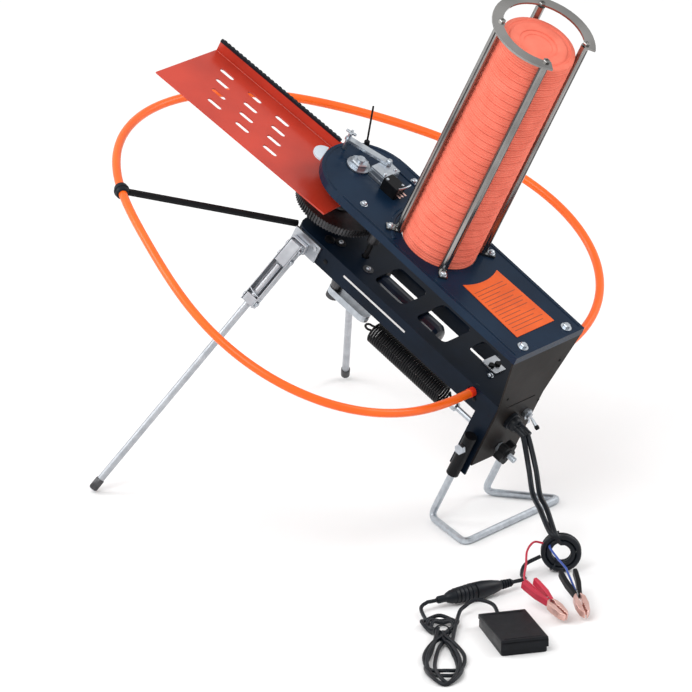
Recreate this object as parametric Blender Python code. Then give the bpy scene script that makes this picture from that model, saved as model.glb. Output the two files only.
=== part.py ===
"""Automatic clay target thrower: tilted deck, 30-clay magazine, throw arm, safety hoop and foot pedal.

Metres, +Z up. The long axis runs along X, the throwing end at -X. Pieces on the machine are placed in
deck coordinates: x along the deck from its rear edge (forward is negative), y across, z off its top face.
"""
import math

import bmesh
import bpy
from mathutils import Matrix, Vector

for item in list(bpy.data.objects):
    bpy.data.objects.remove(item, do_unlink=True)

# Driving dimensions
GAP = 0.0003
SHEET = 0.0025
CLAY_RADIUS, CLAY_PITCH, CLAY_COUNT = 0.054, 0.0124, 30
DECK_TILT = math.radians(27.5)
DECK_REAR = Vector((0.2175, 0.0, 0.279))
ORIGIN_SHIFT = Vector((-0.0016, 0.0125, 0))
DECK_HALF, DECK_LIP, NOSE_X = 0.073, 0.012, -0.350
SHAFT_X, SHAFT_R = -0.378, 0.008
MAGAZINE_X, MAGAZINE_HOLE_R = -0.217, 0.0555
ROD_R, ROD_CIRCLE, ROD_TOP = 0.006, 0.0608, 0.3853
ARM_ANGLE = math.radians(183.7)
ARM_Z, ARM_RAIL_V, ARM_EDGE_V, ARM_TIP_U, ARM_HEEL_U = -0.033, -0.039, 0.085, 0.280, -0.022
GEAR_R, GEAR_Z = 0.0625, -0.075
PINION_R, PINION_X, PINION_Y = 0.0088, -0.306, -0.003
WEB_Z, CHASSIS_HALF, CHASSIS_FRONT, CHASSIS_REAR = -0.105, 0.048, -0.400, -0.0035
FLANGE_Z, TAIL_Z, TAIL_X = -0.137, -0.232, -0.033
CRANK_RADIUS, CRANK_Z = 0.052, -0.150
SPRING_Z, SPRING_R = -0.194, 0.016
HOOP_CENTRE, HOOP_TILT, HOOP_R, HOOP_TUBE_R = Vector((-0.139, 0, 0.331)), math.radians(23.7), 0.3343, 0.006
HOOP_WAVES, HOOP_SADDLE = (-0.0273, -0.0925, -0.0131), -0.0168
LEG_Y, LEG_Z, LEG_TIP, LEG_R = 0.065, -0.128, Vector((-0.362, 0.272, 0.005)), 0.005
LEG_SLEEVE_END = 0.100
BAR_Y, BAR_X, BAR_R, BAR_TOP, SOCKET_TOP = 0.0575, -0.0165, 0.005, -0.172, -0.166
BAR_CORNER = Vector((0.152, 0.103, BAR_R))
PEDAL_CENTRE, PEDAL_TURN = Vector((0.4105, -0.3205, 0)), math.radians(145)
PEDAL_LENGTH, PEDAL_WIDTH = 0.112, 0.064
LEVER_PIVOT, LEVER_TURN, LEVER_LENGTH = (-0.352, 0.027, 0.0160), math.radians(18), 0.064
WHISKER_AT, WHISKER_LENGTH, GUIDE_ANGLE = (-0.402, 0.043, 0.0024), 0.060, math.radians(20.9)
GLAND_PLACE, TOGGLE_PLACE = (-0.0002, -0.004, -0.143), (-0.0002, 0.026, -0.140)
TOGGLE_TURN = math.radians(112)

# Cords, in world coordinates. MEET is the gap where a cord ends at another piece
CABLE_R, CORD_R, LEAD_R, MEET = 0.0037, 0.0027, 0.0015, 0.0006
CABLE_APART = 0.0047
COIL_CENTRE, COIL_R, COIL_HOLE_R, COIL_HALF = Vector((0.310, -0.092, 0.0285)), 0.028, 0.013, 0.009
COIL_RIGHT, COIL_AXIS = Vector((0.775, 0.632, 0)), Vector((0.632, -0.775, 0))
CONNECTOR_START, CONNECTOR_END = Vector((0.3032, -0.1887, 0.0128)), Vector((0.2652, -0.3025, 0.0128))
HANK_CENTRE, HANK_ALONG = Vector((0.3566, -0.4028, 0)), Vector((0.657, -0.754, 0))
HANK_ENDS, HANK_HALF, HANK_THICK = (-0.062, 0.105), 0.035, 0.014
RED_CLIP = ((0.353, -0.2157, 0.034), (0.435, -0.237, 0.0105))
BLACK_CLIP = ((0.3707, -0.154, 0.034), (0.450, -0.213, 0.0105))

DECK_MATRIX = Matrix.Translation(DECK_REAR) @ Matrix.Rotation(DECK_TILT, 4, "Y")
DECK_INVERSE = DECK_MATRIX.inverted()


def on_deck(x, y, z):
    """World position of a point given in deck coordinates."""
    return DECK_MATRIX @ Vector((x, y, z))


def material(name, colour, roughness, metallic=0.0):
    mat = bpy.data.materials.new(name)
    mat.use_nodes = True
    shader = mat.node_tree.nodes["Principled BSDF"]
    shader.inputs["Base Color"].default_value = (*colour, 1)
    shader.inputs["Roughness"].default_value = roughness
    shader.inputs["Metallic"].default_value = metallic
    return mat


PAINT = material("blue_black_paint", (0.012, 0.02, 0.035), 0.3)
PLATE_PAINT = material("brown_black_paint", (0.035, 0.03, 0.028), 0.4)
ARM_PAINT = material("red_arm_paint", (0.62, 0.06, 0.025), 0.35)
ORANGE = material("orange_plastic", (0.9, 0.2, 0.02), 0.4)
CLAY = material("clay", (0.85, 0.2, 0.12), 0.8)
CHROME = material("chrome", (0.6, 0.6, 0.6), 0.15, 1.0)
ZINC = material("zinc", (0.55, 0.56, 0.58), 0.35, 1.0)
STEEL = material("dark_steel", (0.15, 0.15, 0.16), 0.4, 1.0)
BLACK = material("black_plastic", (0.012, 0.012, 0.013), 0.45)
RUBBER = material("rubber", (0.01, 0.01, 0.01), 0.7)
NYLON = material("white_nylon", (0.75, 0.78, 0.8), 0.5)
RED = material("red_plastic", (0.7, 0.03, 0.05), 0.4)

deck = bpy.data.objects.new("deck_frame", None)
deck.matrix_world = DECK_MATRIX
bpy.context.scene.collection.objects.link(deck)


def add(name, bm, mat, at=(0, 0, 0), turn=(0, 0, 0), parent=deck):
    """Turns a bmesh into a named object, in deck coordinates unless parent is None."""
    bmesh.ops.recalc_face_normals(bm, faces=bm.faces)
    mesh = bpy.data.meshes.new(name)
    bm.to_mesh(mesh)
    bm.free()
    mesh.materials.append(mat)
    obj = bpy.data.objects.new(name, mesh)
    bpy.context.scene.collection.objects.link(obj)
    obj.parent = parent
    obj.location = at
    obj.rotation_euler = turn
    return obj


def combine(target, tool, operation="DIFFERENCE"):
    """Cuts the tool from the target, or joins it on, and hides the tool."""
    modifier = target.modifiers.new(tool.name, "BOOLEAN")
    modifier.operation = operation
    modifier.object = tool
    tool.hide_render = True
    tool.display_type = "WIRE"


def prism(outline, low, high, axis="Z", bm=None):
    """Extrudes a closed outline between two heights along an axis."""
    bm = bm or bmesh.new()
    places = {"Z": lambda u, v, w: (u, v, w), "X": lambda u, v, w: (w, u, v), "Y": lambda u, v, w: (u, w, v)}
    place = places[axis]
    lower = [bm.verts.new(place(u, v, low)) for u, v in outline]
    upper = [bm.verts.new(place(u, v, high)) for u, v in outline]
    bm.faces.new(lower)
    bm.faces.new(upper)
    for i in range(len(outline)):
        j = (i + 1) % len(outline)
        bm.faces.new((lower[i], lower[j], upper[j], upper[i]))
    return bm


def box(x0, x1, y0, y1, z0, z1, bm=None):
    return prism([(x0, y0), (x1, y0), (x1, y1), (x0, y1)], z0, z1, bm=bm)


def arc(cx, cy, radius, start, end, steps):
    """Points on an arc, with the angles in degrees."""
    angles = [math.radians(start + (end - start) * i / steps) for i in range(steps + 1)]
    return [(cx + radius * math.cos(a), cy + radius * math.sin(a)) for a in angles]


def circle(cx, cy, radius, sides=20):
    return arc(cx, cy, radius, 0, 360 - 360 / sides, sides - 1)


def rounded(x0, x1, y0, y1, radius, steps=3):
    """A rectangle with round corners."""
    corners = ((x1, y0, -1, 1, -90), (x1, y1, -1, -1, 0), (x0, y1, 1, -1, 90), (x0, y0, 1, 1, 180))
    points = []
    for x, y, sx, sy, start in corners:
        points += arc(x + sx * radius, y + sy * radius, radius, start, start + 90, steps)
    return points


def obround(x0, x1, y, radius, steps=6):
    """A slot with round ends at x0 and x1, the centres of its ends."""
    return arc(x1, y, radius, -90, 90, steps) + arc(x0, y, radius, 90, 270, steps)


def lathe(profile, sides=20, ring=False):
    """Turns (radius, height) points about Z. A ring's profile closes on itself, clear of the axis."""
    bm = bmesh.new()
    verts = [bm.verts.new((r, 0, z)) for r, z in profile]
    edges = [bm.edges.new(pair) for pair in zip(verts, verts[1:])]
    if ring:
        edges.append(bm.edges.new((verts[-1], verts[0])))
    bmesh.ops.spin(bm, geom=verts + edges, cent=(0, 0, 0), axis=(0, 0, 1), angle=math.tau, steps=sides)
    bmesh.ops.remove_doubles(bm, verts=bm.verts, dist=1e-6)
    return bm


def rod_profile(radius, low, high):
    return [(0, low), (radius, low), (radius, high), (0, high)]


def ring_profile(inner, outer, low, high):
    return [(inner, low), (outer, low), (outer, high), (inner, high)]


ALONG_X = (0, math.pi / 2, 0)
ALONG_Y = (-math.pi / 2, 0, 0)


def smooth(route, spacing):
    """Even points on a Catmull-Rom curve through the route's own points."""
    points = [Vector(p) for p in route]
    ends = [2 * points[0] - points[1]] + points + [2 * points[-1] - points[-2]]
    fine = []
    for a, b, c, d in zip(ends, ends[1:], ends[2:], ends[3:]):
        for i in range(24):
            t = i / 24
            fine.append(0.5 * (2 * b + (c - a) * t + (2 * a - 5 * b + 4 * c - d) * t ** 2
                               + (3 * b - a - 3 * c + d) * t ** 3))
    fine.append(points[-1])
    total = sum((q - p).length for p, q in zip(fine, fine[1:]))
    count = max(3, round(total / spacing))
    kept, travelled = [fine[0]], 0.0
    for p, q in zip(fine, fine[1:]):
        travelled += (q - p).length
        if travelled >= len(kept) * total / count - 1e-9 and len(kept) < count:
            kept.append(q)
    return kept + [fine[-1]]


def tube(name, points, radius, mat, resolution=2, cyclic=False, origin=(0, 0, 0)):
    """A round tube through world points, with its origin at a world position."""
    origin = Vector(origin)
    curve = bpy.data.curves.new(name, "CURVE")
    curve.dimensions = "3D"
    curve.bevel_depth = radius
    curve.bevel_resolution = resolution
    curve.use_fill_caps = not cyclic
    spline = curve.splines.new("POLY")
    spline.points.add(len(points) - 1)
    for point, place in zip(spline.points, points):
        point.co = (*(Vector(place) - origin), 1)
    spline.use_cyclic_u = cyclic
    curve.materials.append(mat)
    obj = bpy.data.objects.new(name, curve)
    bpy.context.scene.collection.objects.link(obj)
    obj.location = origin
    return obj


def deck_outline(inset):
    half = DECK_HALF - inset
    rear = -inset
    return [(rear, half)] + arc(NOSE_X, 0, half, 90, 270, 20) + [(rear, -half)]


def build_deck():
    plate = add("deck_plate", prism(deck_outline(0), -DECK_LIP, 0), PAINT)
    combine(plate, add("deck_pocket", prism(deck_outline(SHEET), -DECK_LIP - 0.001, -SHEET), PAINT))
    holes = prism(circle(MAGAZINE_X, 0, MAGAZINE_HOLE_R, 36), -0.02, 0.01)
    prism(circle(SHAFT_X, 0, SHAFT_R + GAP, 16), -0.02, 0.01, bm=holes)
    combine(plate, add("deck_holes", holes, PAINT))
    front = arc(MAGAZINE_X, 0, 0.086, -25, 25, 10)
    label = [(-0.030, -0.040), (-0.030, 0.040)] + front[::-1]
    add("deck_label", prism(label, GAP, 0.0009), ORANGE)
    gate = add("drop_gate", prism(rounded(-0.320, -0.140, -0.060, 0.060, 0.01), -0.0065, -0.0036), ZINC)
    combine(gate, add("gate_hole", prism(circle(MAGAZINE_X - 0.018, 0, MAGAZINE_HOLE_R, 32), -0.01, 0), ZINC))


def build_magazine():
    for number, angle in enumerate((-45, 45, 135, 225), 1):
        turn = math.radians(angle)
        rod = add(f"magazine_rod_{number}", lathe(rod_profile(ROD_R, GAP, ROD_TOP - GAP), 16), CHROME,
                  (MAGAZINE_X + ROD_CIRCLE * math.cos(turn), ROD_CIRCLE * math.sin(turn), 0), (0, 0, turn))
        foot = box(0, 0.018, -0.006, 0.006, GAP, 0.0035)
        combine(rod, add(f"rod_foot_{number}", foot, CHROME, rod.location, (0, 0, turn)), "UNION")
    outer = arc(0, 0, 0.0745, 38, 322, 36)
    inner = arc(0, 0, 0.0590, 322, 38, 36)
    add("magazine_top_ring", prism(outer + inner, ROD_TOP, ROD_TOP + 0.003), CHROME, (MAGAZINE_X, 0, 0))
    low, high = -0.0033, -0.0033 + CLAY_COUNT * CLAY_PITCH
    profile = [(0, low), (0.050, low), (CLAY_RADIUS, low + 0.004), (CLAY_RADIUS, high - 0.010)]
    profile += [(0.044, high - 0.002), (0.040, high), (0.028, high), (0.024, high - 0.005), (0, high - 0.005)]
    add("clay_stack", lathe(profile, 36), CLAY, (MAGAZINE_X, 0, 0))


def build_arm():
    at = (SHAFT_X, 0, 0)
    turn = (0, 0, ARM_ANGLE)
    outline = [(ARM_HEEL_U, ARM_RAIL_V), (ARM_TIP_U - 0.002, ARM_RAIL_V), (ARM_TIP_U + 0.012, ARM_EDGE_V),
               (ARM_HEEL_U, ARM_EDGE_V)]
    arm = add("throw_arm", prism(outline, ARM_Z - SHEET, ARM_Z), ARM_PAINT, at, turn)
    rail = box(ARM_HEEL_U, ARM_TIP_U - 0.002, ARM_RAIL_V, ARM_RAIL_V + SHEET, ARM_Z - SHEET, ARM_Z + 0.0155)
    combine(arm, add("arm_rail", rail, ARM_PAINT, at, turn), "UNION")
    hub = prism(circle(0, 0, 0.018, 20), -0.047, ARM_Z - SHEET / 2)
    combine(arm, add("arm_hub", hub, ARM_PAINT, at, turn), "UNION")
    slots = prism(circle(0, 0, SHAFT_R + GAP, 16), -0.06, 0)
    for column in range(3):
        for row in range(4):
            u = 0.237 - 0.0517 * column - 0.0103 * row
            v = -0.011 + 0.0222 * row
            prism(obround(u - 0.0085, u + 0.0085, v, 0.004, 4), -0.04, -0.03, bm=slots)
    combine(arm, add("arm_slots", slots, ARM_PAINT, at, turn))
    top = ARM_Z + 0.0155 + GAP
    strip = box(0.055, ARM_TIP_U - 0.002, ARM_RAIL_V - 0.001, ARM_RAIL_V + 0.0035, top, top + 0.0035)
    add("arm_rail_rubber", strip, RUBBER, at, turn)
    shaft = [(0, CRANK_Z + GAP), (SHAFT_R, CRANK_Z + GAP), (SHAFT_R, 0.0005), (0.017, 0.0005), (0.017, 0.003),
             (0.0105, 0.003), (0.0105, 0.010), (0.006, 0.010), (0.006, 0.014), (0, 0.014)]
    add("main_shaft", lathe(shaft, 16), STEEL, at)
    add("drive_gear", lathe(ring_profile(SHAFT_R + GAP, GEAR_R, GEAR_Z, GEAR_Z + 0.012), 48, True), STEEL, at)
    arm_of_crank = prism(obround(0, CRANK_RADIUS, 0, 0.013, 8), CRANK_Z - 0.012, CRANK_Z)
    crank = add("crank_arm", arm_of_crank, STEEL, at)
    pin = [(0, -0.1985), (0.0095, -0.1985), (0.0095, -0.1925), (0.006, -0.1925), (0.006, -0.180),
           (0.009, -0.180), (0.0125, -0.161), (0, -0.161)]
    combine(crank, add("crank_pin", lathe(pin, 16), STEEL, (SHAFT_X + CRANK_RADIUS, 0, 0)), "UNION")
    pin_at = (SHAFT_X + CRANK_RADIUS, 0, 0)
    link = add("spring_link", prism(obround(0, 0.055, 0, 0.0095, 6), -0.1915, -0.1815), ZINC, pin_at)
    combine(link, add("link_hole", prism(circle(0, 0, 0.0065, 16), -0.2, -0.17), ZINC, pin_at))


def build_chassis():
    front, half, rear = CHASSIS_FRONT, CHASSIS_HALF, CHASSIS_REAR

    def outline(inset):
        r = 0.018
        return ([(rear + 4 * inset, -half + inset), (rear + 4 * inset, half - inset)]
                + arc(front + r + inset, half - r - inset, r, 90, 180, 4)
                + arc(front + r + inset, -half + r + inset, r, 180, 270, 4))

    channel = add("chassis_channel", prism(outline(0), TAIL_Z, WEB_Z), PAINT)
    combine(channel, add("channel_inside", prism(outline(SHEET), TAIL_Z - 0.01, WEB_Z - 0.003), PAINT))
    low = box(front - 0.01, TAIL_X, -0.06, 0.06, TAIL_Z - 0.01, FLANGE_Z)
    combine(channel, add("flange_trim", low, PAINT))
    holes = prism(rounded(-0.268, -0.212, -0.027, 0.030, 0.008), -0.12, -0.09)
    prism(rounded(-0.187, -0.131, -0.026, 0.036, 0.008), -0.12, -0.09, bm=holes)
    prism(rounded(-0.108, -0.075, 0.002, 0.036, 0.006), -0.12, -0.09, bm=holes)
    prism(circle(SHAFT_X, 0, SHAFT_R + 0.001, 16), -0.12, -0.09, bm=holes)
    prism(circle(PINION_X, PINION_Y, 0.006, 12), -0.12, -0.09, bm=holes)
    rear_point = hoop_point(0)
    hoop_x, hoop_z = (DECK_INVERSE @ rear_point).xz
    prism(circle(hoop_x, hoop_z, HOOP_TUBE_R + 0.0025, 16), -0.06, 0.06, "Y", bm=holes)
    combine(channel, add("channel_holes", holes, PAINT))
    top, seam = -DECK_LIP - 0.0005, -0.110
    plate = [(DECK_HALF, top), (CHASSIS_HALF, seam), (CHASSIS_HALF, -0.212), (-CHASSIS_HALF, -0.212),
             (-CHASSIS_HALF, seam), (-DECK_HALF, top)]
    end = add("rear_end_plate", prism(plate, -0.003, -0.0005, "X"), PLATE_PAINT)
    combine(end, add("eyebolt_hole", prism(circle(0, SPRING_Z, 0.0045, 12), -0.01, 0.01, "X"), PLATE_PAINT))
    bearing = ring_profile(SHAFT_R + GAP, 0.020, WEB_Z + GAP, GEAR_Z - 0.003)
    add("bearing_housing", lathe(bearing, 20, True), STEEL, (SHAFT_X, 0, 0))
    add("gearbox", prism(rounded(-0.336, -0.272, -0.030, 0.030, 0.008), -0.1415, -0.1083), BLACK)
    pinion = [(0, -0.108), (0.004, -0.108), (0.004, -0.0765), (PINION_R, -0.0765), (PINION_R, -0.0625),
              (0.004, -0.0625), (0.004, -0.058), (0, -0.058)]
    add("drive_pinion", lathe(pinion, 16), STEEL, (PINION_X, PINION_Y, 0))
    motor = [(0, 0), (0.017, 0), (0.020, 0.003), (0.020, 0.110), (0.016, 0.116), (0.008, 0.118), (0, 0.118)]
    add("drive_motor", lathe(motor, 20), BLACK, (-0.2717, 0, -0.1305), ALONG_X)


def build_spring():
    spring = [(0, 0), (0.004, 0), (0.004, 0.008), (0.011, 0.012), (SPRING_R, 0.017), (SPRING_R, 0.153),
              (0.011, 0.158), (0.004, 0.162), (0.004, 0.170), (0, 0.170)]
    add("main_spring", lathe(spring, 20), BLACK, (-0.2612, 0, SPRING_Z), ALONG_X)
    bolt = [(0, 0), (0.007, 0), (0.007, 0.008), (0.004, 0.010), (0.004, 0.122), (0, 0.122)]
    add("tension_eyebolt", lathe(bolt, 12), ZINC, (-0.0908, 0, SPRING_Z), ALONG_X)
    star = []
    for i in range(30):
        radius = 0.0150 + 0.0028 * math.cos(i * math.tau / 6)
        star.append((radius * math.cos(i * math.tau / 30), radius * math.sin(i * math.tau / 30)))
    knob = add("tension_knob", prism(star, 0, 0.012), BLACK, (0.0065, 0, SPRING_Z), ALONG_X)
    bore = prism(circle(0, 0, 0.0043, 12), -0.01, 0.03)
    combine(knob, add("knob_bore", bore, BLACK, knob.location, ALONG_X))


def hoop_point(angle):
    """World position on the hoop's centre line: a springy tube, held straight at the chassis."""
    radius = HOOP_R * (1 + sum(w * math.cos(n * angle) for n, w in enumerate(HOOP_WAVES, 2)))
    flat = Vector((radius * math.cos(angle), radius * math.sin(angle), HOOP_SADDLE * math.cos(2 * angle)))
    return HOOP_CENTRE + Matrix.Rotation(HOOP_TILT, 3, "Y") @ flat


def build_hoop():
    tube("safety_hoop", [hoop_point(i * math.tau / 96) for i in range(96)], HOOP_TUBE_R, ORANGE, 2, True)
    angle = math.radians(222.5)
    held = hoop_point(angle)
    along = (hoop_point(angle + 0.01) - hoop_point(angle - 0.01)).normalized()
    turn = along.to_track_quat("Z", "Y").to_euler()
    outer = ring_profile(HOOP_TUBE_R + 0.0007, 0.010, -0.007, 0.007)
    add("hoop_grommet", lathe(outer, 16, True), RUBBER, held, turn, None)
    root = on_deck(CHASSIS_FRONT - 0.0065, -0.030, -0.121)
    reach = (held - root).normalized()
    tube("hoop_support_arm", [root, held - reach * 0.0108], 0.005, BLACK)


def leg_frame(side):
    """World matrix of a leg: its origin on the hinge, -Z down the leg, Y along the hinge axis."""
    hinge = on_deck(SHAFT_X, side * LEG_Y, LEG_Z)
    tip = Vector((LEG_TIP.x, side * LEG_TIP.y, LEG_TIP.z))
    down = (tip - hinge).normalized()
    rearward = (on_deck(1, 0, 0) - on_deck(0, 0, 0)).normalized()
    axis = down.cross(rearward).normalized()
    z, y = -down, axis
    return Matrix.Translation(hinge) @ Matrix((y.cross(z), y, z)).transposed().to_4x4(), (tip - hinge).length


def build_legs():
    for side, word in ((-1, "near"), (1, "far")):
        frame, length = leg_frame(side)
        yoke = bpy.data.objects.new(f"leg_frame_{word}", None)
        yoke.matrix_world = frame
        bpy.context.scene.collection.objects.link(yoke)
        channel = rounded(-0.011, 0.011, -0.007, 0.007, 0.003)
        sleeve = add(f"leg_sleeve_{word}", prism(channel, -LEG_SLEEVE_END, 0.010), ZINC, parent=yoke)
        bore = prism(circle(0, 0, LEG_R + GAP, 16), -LEG_SLEEVE_END - 0.01, -0.030)
        combine(sleeve, add(f"sleeve_bore_{word}", bore, ZINC, parent=yoke))
        foot = [(0, -length), (0.005, -length), (0.0058, -length + 0.002), (0.0058, -length + 0.016),
                (LEG_R, -length + 0.017), (LEG_R, -0.031), (0, -0.031)]
        add(f"leg_rod_{word}", lathe(foot, 12), ZINC, parent=yoke)
        plate = side * (CHASSIS_HALF + GAP)
        edges = sorted((plate, plate + side * 0.003))
        bracket = box(SHAFT_X - 0.018, SHAFT_X + 0.030, *edges, FLANGE_Z + 0.001, -0.108)
        add(f"leg_bracket_{word}", bracket, ZINC)


def build_foot_bar():
    ground = -(on_deck(BAR_X, 0, 0).z - BAR_R) / math.cos(DECK_TILT)
    half = []
    top = on_deck(BAR_X, BAR_Y, BAR_TOP)
    bend = on_deck(BAR_X, BAR_Y, ground)
    half += [top, on_deck(BAR_X, BAR_Y, (BAR_TOP + ground) / 2)]
    half += bent(top, bend, BAR_CORNER, 0.016)
    half += bent(bend, BAR_CORNER, Vector((BAR_CORNER.x, 0, BAR_R)), 0.014)
    mirror = [Vector((p.x, -p.y, p.z)) for p in reversed(half)]
    tube("foot_bar", half + mirror, BAR_R, ZINC, 3, origin=top)
    for side, word in ((-1, "near"), (1, "far")):
        outline = circle(BAR_X, side * BAR_Y, 0.0090, 20)
        socket = add(f"foot_socket_{word}", prism(outline, TAIL_Z - 0.004, SOCKET_TOP), BLACK)
        bore = prism(circle(BAR_X, side * BAR_Y, BAR_R + 0.0004, 20), TAIL_Z - 0.02, SOCKET_TOP - 0.004)
        combine(socket, add(f"socket_bore_{word}", bore, BLACK))
        screw = [(0, 0), (0.0075, 0), (0.0075, 0.006), (0, 0.006)]
        place = (BAR_X, side * (BAR_Y + 0.0093), -0.186)
        turn = ALONG_Y if side > 0 else (math.pi / 2, 0, 0)
        add(f"clamp_bolt_{word}", lathe(screw, 6), ZINC, place, turn)


def bent(start, corner, end, radius):
    """Points round a corner, on a curve that leaves both straight runs smoothly."""
    a = corner + (start - corner).normalized() * radius
    b = corner + (end - corner).normalized() * radius
    return [(1 - t) ** 2 * a + 2 * t * (1 - t) * corner + t ** 2 * b for t in (i / 6 for i in range(7))]


def build_top_gear():
    """The release mechanism, switches and small fittings."""
    add("release_block", box(-0.360, -0.334, 0.001, 0.034, GAP, 0.0155), ZINC)
    add("micro_switch", prism(rounded(-0.3335, -0.306, -0.004, 0.016, 0.002), GAP, 0.018), BLACK)
    bar = prism(obround(-LEVER_LENGTH, 0, 0.0, 0.005, 5), 0, 0.004)
    lever = add("release_lever", bar, ZINC, LEVER_PIVOT, (0, 0, LEVER_TURN))
    pin_at = Vector(LEVER_PIVOT) + Matrix.Rotation(LEVER_TURN, 3, "Z") @ Vector((-LEVER_LENGTH, 0, 0))
    pin = lathe(rod_profile(0.003, -0.0152, 0.014), 10)
    combine(lever, add("release_pin", pin, ZINC, pin_at), "UNION")
    whisker = [(0, 0), (0.004, 0), (0.004, 0.006), (0.0014, 0.008)] + rod_profile(0.0014, 0, WHISKER_LENGTH)[2:]
    add("whisker_rod", lathe(whisker, 8), BLACK, WHISKER_AT, (0, math.radians(-16), 0))
    guide = arc(0, 0, 0.016, 100, 260, 10) + [(0, -0.016), (0, 0.016)]
    reach = DECK_HALF + GAP
    guide_at = (NOSE_X - reach * math.cos(GUIDE_ANGLE), -reach * math.sin(GUIDE_ANGLE), -0.004)
    add("front_guide", prism(guide, -0.0005, 0.0025), NYLON, guide_at, (0, 0, GUIDE_ANGLE))
    gland = lathe([(0, 0), (0.013, 0), (0.013, 0.005), (0.010, 0.007), (0.010, 0.014), (0, 0.014)], 18)
    add("cable_gland", gland, BLACK, GLAND_PLACE, ALONG_X)
    switch = [(0, 0), (0.0075, 0), (0.0075, 0.004), (0.005, 0.004), (0.005, 0.010), (0, 0.010)]
    add("toggle_switch", lathe(switch, 12), ZINC, TOGGLE_PLACE, ALONG_X)
    toggle = lathe([(0, 0), (0.0016, 0), (0.0028, 0.016), (0.002, 0.018), (0, 0.018)], 10)
    lever_base = (TOGGLE_PLACE[0] + 0.0118, *TOGGLE_PLACE[1:])
    add("toggle_lever", toggle, ZINC, lever_base, (0, TOGGLE_TURN, 0))


def build_pedal():
    turn = (0, 0, PEDAL_TURN)
    half_l, half_w = PEDAL_LENGTH / 2, PEDAL_WIDTH / 2
    base = prism(rounded(-half_l, half_l, -half_w, half_w, 0.004), 0, 0.011)
    add("pedal_base", base, BLACK, PEDAL_CENTRE, turn, None)
    hinge = PEDAL_CENTRE + Matrix.Rotation(PEDAL_TURN, 3, "Z") @ Vector((half_l - 0.004, 0, 0.0115))
    side = [(-0.110, 0.0045), (0.002, 0.0), (0.002, 0.0075), (-0.110, 0.0115)]
    add("pedal_plate", prism(side, -half_w - 0.001, half_w + 0.001, "Y"), BLACK, hinge, turn, None)


def into_coil(right, up, axis=0.0):
    """The last two route points of a cord that meets the coil's round side square on."""
    out = (COIL_RIGHT * right + Vector((0, 0, up))).normalized()
    return [COIL_CENTRE + out * (COIL_R + reach) + COIL_AXIS * axis for reach in (0.014, MEET)]


def into_hank(x, y):
    """The last two route points of a cord that meets the hank's round end, going in along (x, y)."""
    centre = HANK_CENTRE + HANK_ALONG * HANK_ENDS[0] + Vector((0, 0, HANK_THICK / 2))
    inward = Vector((x, y, 0)).normalized()
    return [centre - inward * (HANK_HALF + reach) for reach in (0.009, MEET)]


def main_cable(side):
    aside = COIL_RIGHT * CABLE_APART * side
    gland_x, gland_y, gland_z = GLAND_PLACE
    leaves = ((gland_x + 0.014 + MEET, gland_z), (gland_x + 0.0282, gland_z - 0.0005))
    gland = [on_deck(x, gland_y + CABLE_APART * side, z) for x, z in leaves]
    hangs = ((0.198, -0.015, 0.098), (0.2255, -0.040, 0.074), (0.260, -0.068, 0.070))
    fall = [Vector(p) + aside for p in hangs]
    return gland + fall + into_coil(-0.45 + 0.16 * side, 0.89)


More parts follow.
